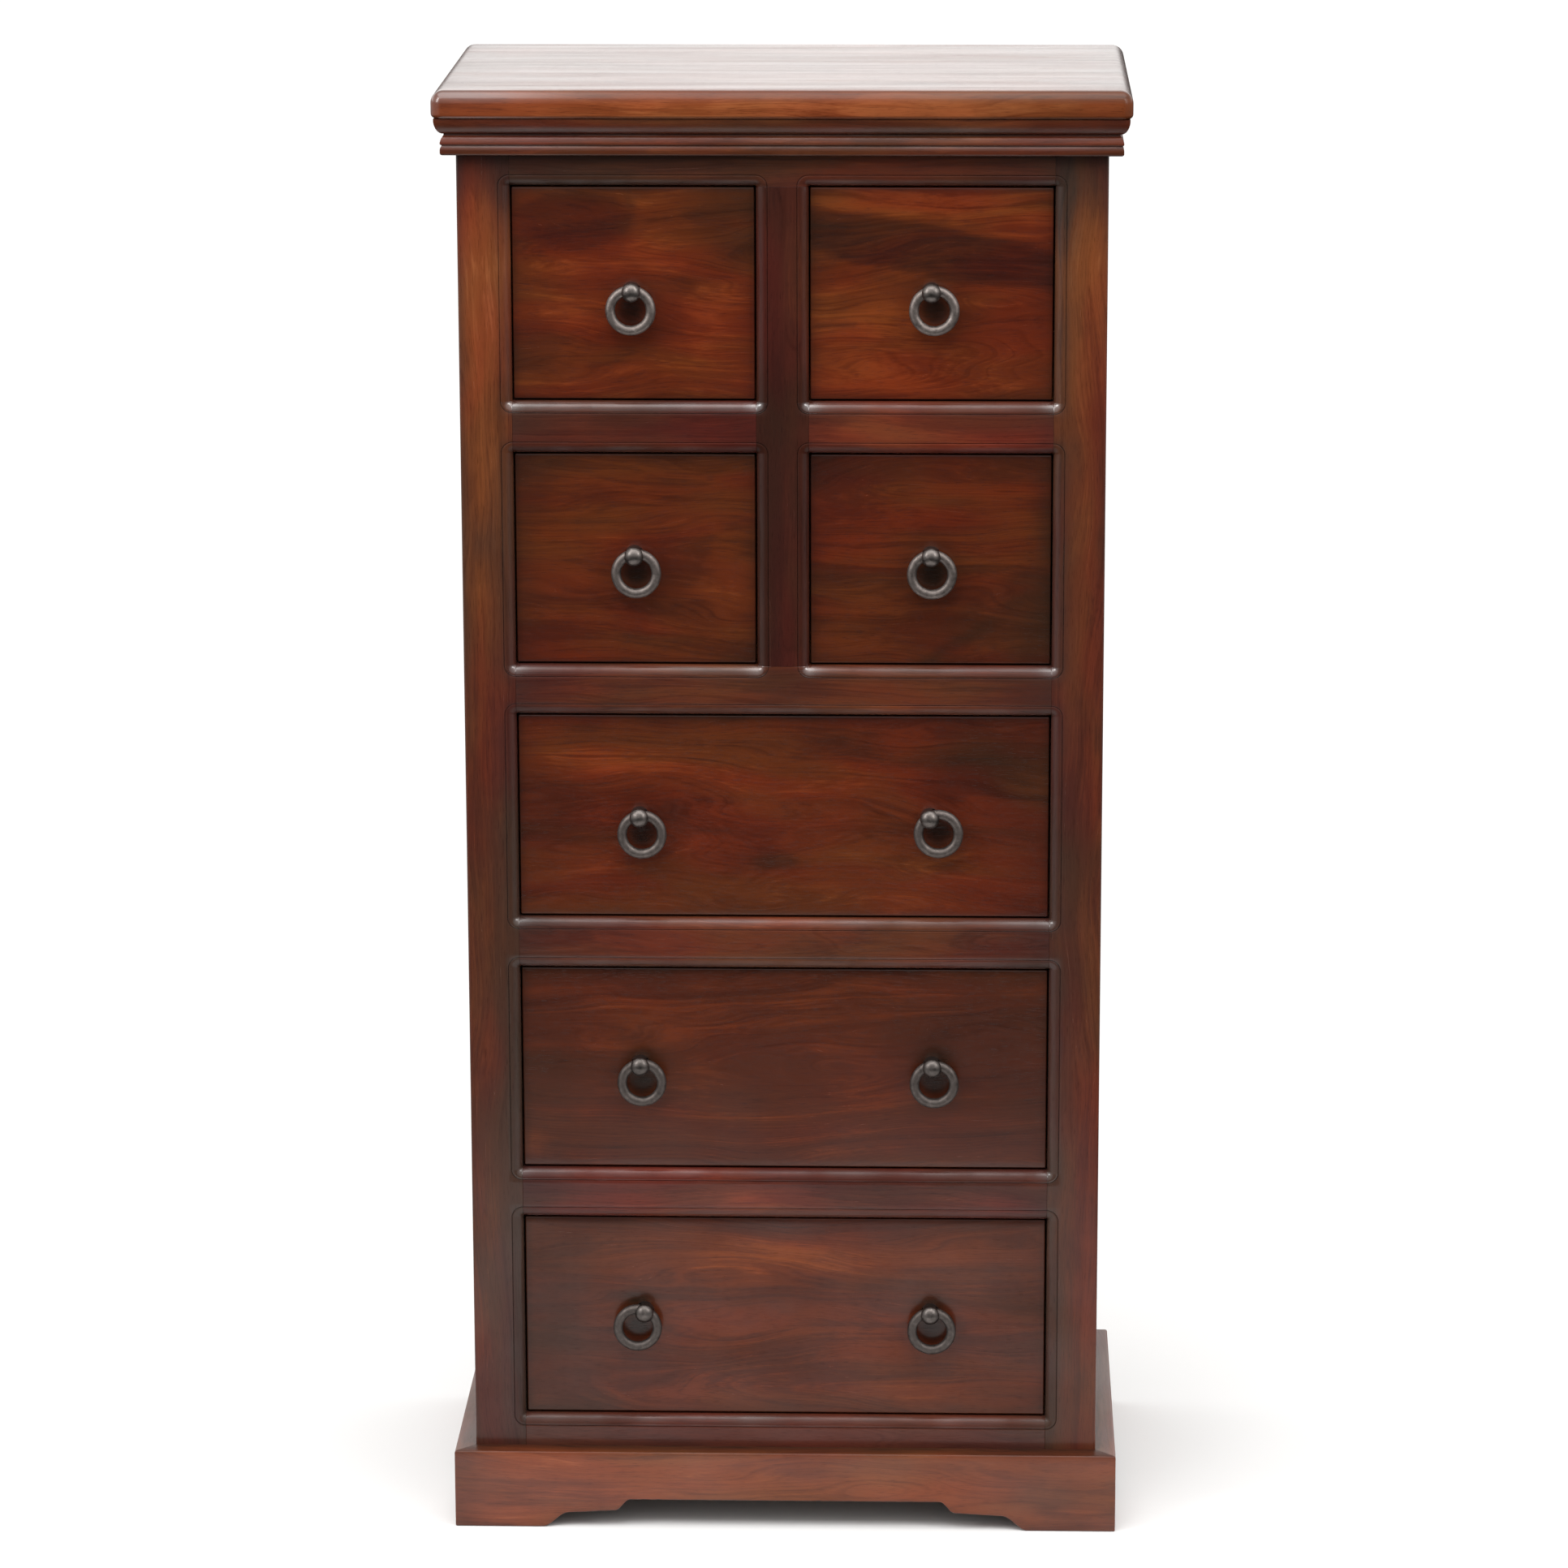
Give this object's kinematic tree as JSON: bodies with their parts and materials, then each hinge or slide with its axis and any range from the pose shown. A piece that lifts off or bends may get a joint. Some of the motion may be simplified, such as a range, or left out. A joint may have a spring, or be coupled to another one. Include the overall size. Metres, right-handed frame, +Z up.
{
  "type": "tallboy chest of drawers",
  "caption": "Tall narrow chest of stained hardwood drawers with moulded top, ring pulls and bracket plinth.",
  "frame": {"origin": "floor, middle of the outer box", "axes": "+Z up, +X to the right of someone facing the drawers, +Y from the front to the back"},
  "size_m": [0.6, 0.35, 1.3],
  "materials": {
    "top_wood": "satin lacquer over red-brown stain",
    "cornice_wood": "satin lacquer over dark stain",
    "stile_wood": "satin lacquer over orange-brown stain",
    "frame_wood": "satin lacquer over dark red-brown stain",
    "drawer_wood": "satin lacquer over deep red-brown stain, grain across the front",
    "side_wood": "satin lacquer over red-brown stain",
    "plinth_wood": "satin lacquer over brown stain",
    "inner_wood": "bare planed hardwood",
    "plywood": "bare plywood, lightly stained",
    "iron": "dark pewter-coloured forged iron, burnished and waxed"
  },
  "bodies": {
    "carcass": {"top_board": "top_wood", "cornice_front": "cornice_wood", "cornice_returns": "cornice_wood", "stile_left": "stile_wood", "stile_right": "frame_wood", "top_rail": "frame_wood", "muntin": "frame_wood", "short_rails": "frame_wood", "rail_2": "frame_wood", "rail_3": "frame_wood", "rail_4": "frame_wood", "bottom_rail": "frame_wood", "rear_posts": "side_wood", "side_rails": "side_wood", "side_panels": "side_wood", "back_rails": "inner_wood", "back_panel": "plywood", "centre_batten": "inner_wood", "runners": "inner_wood", "bottom_board": "plywood", "plinth_front": "plinth_wood", "plinth_returns": "plinth_wood"},
    "drawer_1l": {"d1l_front": "drawer_wood", "d1l_box": "inner_wood", "d1l_bottom": "plywood", "d1l_pull": "iron"},
    "ring_pull_1l": {"ring_1l": "iron"},
    "drawer_1r": {"d1r_front": "drawer_wood", "d1r_box": "inner_wood", "d1r_bottom": "plywood", "d1r_pull": "iron"},
    "ring_pull_1r": {"ring_1r": "iron"},
    "drawer_2l": {"d2l_front": "drawer_wood", "d2l_box": "inner_wood", "d2l_bottom": "plywood", "d2l_pull": "iron"},
    "ring_pull_2l": {"ring_2l": "iron"},
    "drawer_2r": {"d2r_front": "drawer_wood", "d2r_box": "inner_wood", "d2r_bottom": "plywood", "d2r_pull": "iron"},
    "ring_pull_2r": {"ring_2r": "iron"},
    "drawer_3": {"d3_front": "drawer_wood", "d3_box": "inner_wood", "d3_bottom": "plywood", "d3_pull": "iron"},
    "ring_pull_3l": {"ring_3l": "iron"},
    "ring_pull_3r": {"ring_3r": "iron"},
    "drawer_4": {"d4_front": "drawer_wood", "d4_box": "inner_wood", "d4_bottom": "plywood", "d4_pull": "iron"},
    "ring_pull_4l": {"ring_4l": "iron"},
    "ring_pull_4r": {"ring_4r": "iron"},
    "drawer_5": {"d5_front": "drawer_wood", "d5_box": "inner_wood", "d5_bottom": "plywood", "d5_pull": "iron"},
    "ring_pull_5l": {"ring_5l": "iron"},
    "ring_pull_5r": {"ring_5r": "iron"}
  },
  "joints": [
    {"name": "drawer_1l_slide", "type": "slide", "parent": "carcass", "child": "drawer_1l", "axis": [0, -1, 0], "range_m": [0, 0.23]},
    {"name": "ring_1l_hinge", "type": "hinge", "parent": "drawer_1l", "child": "ring_pull_1l", "pos_m": [-0.13, -0.158, 1.1253], "axis": [-0.9986, 0, 0.0523], "range_deg": [-10.5, 190]},
    {"name": "drawer_1r_slide", "type": "slide", "parent": "carcass", "child": "drawer_1r", "axis": [0, -1, 0], "range_m": [0, 0.23]},
    {"name": "ring_1r_hinge", "type": "hinge", "parent": "drawer_1r", "child": "ring_pull_1r", "pos_m": [0.1285, -0.158, 1.1253], "axis": [-0.9877, 0, -0.1564], "range_deg": [-10.5, 190]},
    {"name": "drawer_2l_slide", "type": "slide", "parent": "carcass", "child": "drawer_2l", "axis": [0, -1, 0], "range_m": [0, 0.23]},
    {"name": "ring_2l_hinge", "type": "hinge", "parent": "drawer_2l", "child": "ring_pull_2l", "pos_m": [-0.1295, -0.158, 0.8938], "axis": [-0.9945, 0, -0.1045], "range_deg": [-10.5, 190]},
    {"name": "drawer_2r_slide", "type": "slide", "parent": "carcass", "child": "drawer_2r", "axis": [0, -1, 0], "range_m": [0, 0.23]},
    {"name": "ring_2r_hinge", "type": "hinge", "parent": "drawer_2r", "child": "ring_pull_2r", "pos_m": [0.129, -0.158, 0.8938], "axis": [-0.9986, 0, -0.0523], "range_deg": [-10.5, 190]},
    {"name": "drawer_3_slide", "type": "slide", "parent": "carcass", "child": "drawer_3", "axis": [0, -1, 0], "range_m": [0, 0.23]},
    {"name": "ring_3l_hinge", "type": "hinge", "parent": "drawer_3", "child": "ring_pull_3l", "pos_m": [-0.127, -0.158, 0.6592], "axis": [-0.9903, 0, -0.1392], "range_deg": [-10.5, 190]},
    {"name": "ring_3r_hinge", "type": "hinge", "parent": "drawer_3", "child": "ring_pull_3r", "pos_m": [0.1285, -0.158, 0.6592], "axis": [-0.8746, 0, -0.4848], "range_deg": [-10.5, 190]},
    {"name": "drawer_4_slide", "type": "slide", "parent": "carcass", "child": "drawer_4", "axis": [0, -1, 0], "range_m": [0, 0.23]},
    {"name": "ring_4l_hinge", "type": "hinge", "parent": "drawer_4", "child": "ring_pull_4l", "pos_m": [-0.128, -0.158, 0.4314], "axis": [-0.9962, 0, -0.0872], "range_deg": [-10.5, 190]},
    {"name": "ring_4r_hinge", "type": "hinge", "parent": "drawer_4", "child": "ring_pull_4r", "pos_m": [0.1315, -0.158, 0.4314], "axis": [-0.9925, 0, -0.1219], "range_deg": [-10.5, 190]},
    {"name": "drawer_5_slide", "type": "slide", "parent": "carcass", "child": "drawer_5", "axis": [0, -1, 0], "range_m": [0, 0.23]},
    {"name": "ring_5l_hinge", "type": "hinge", "parent": "drawer_5", "child": "ring_pull_5l", "pos_m": [-0.126, -0.158, 0.2004], "axis": [-0.9205, 0, 0.3907], "range_deg": [-10.5, 190]},
    {"name": "ring_5r_hinge", "type": "hinge", "parent": "drawer_5", "child": "ring_pull_5r", "pos_m": [0.1305, -0.158, 0.2004], "axis": [-0.9962, 0, -0.0872], "range_deg": [-10.5, 190]}
  ]
}
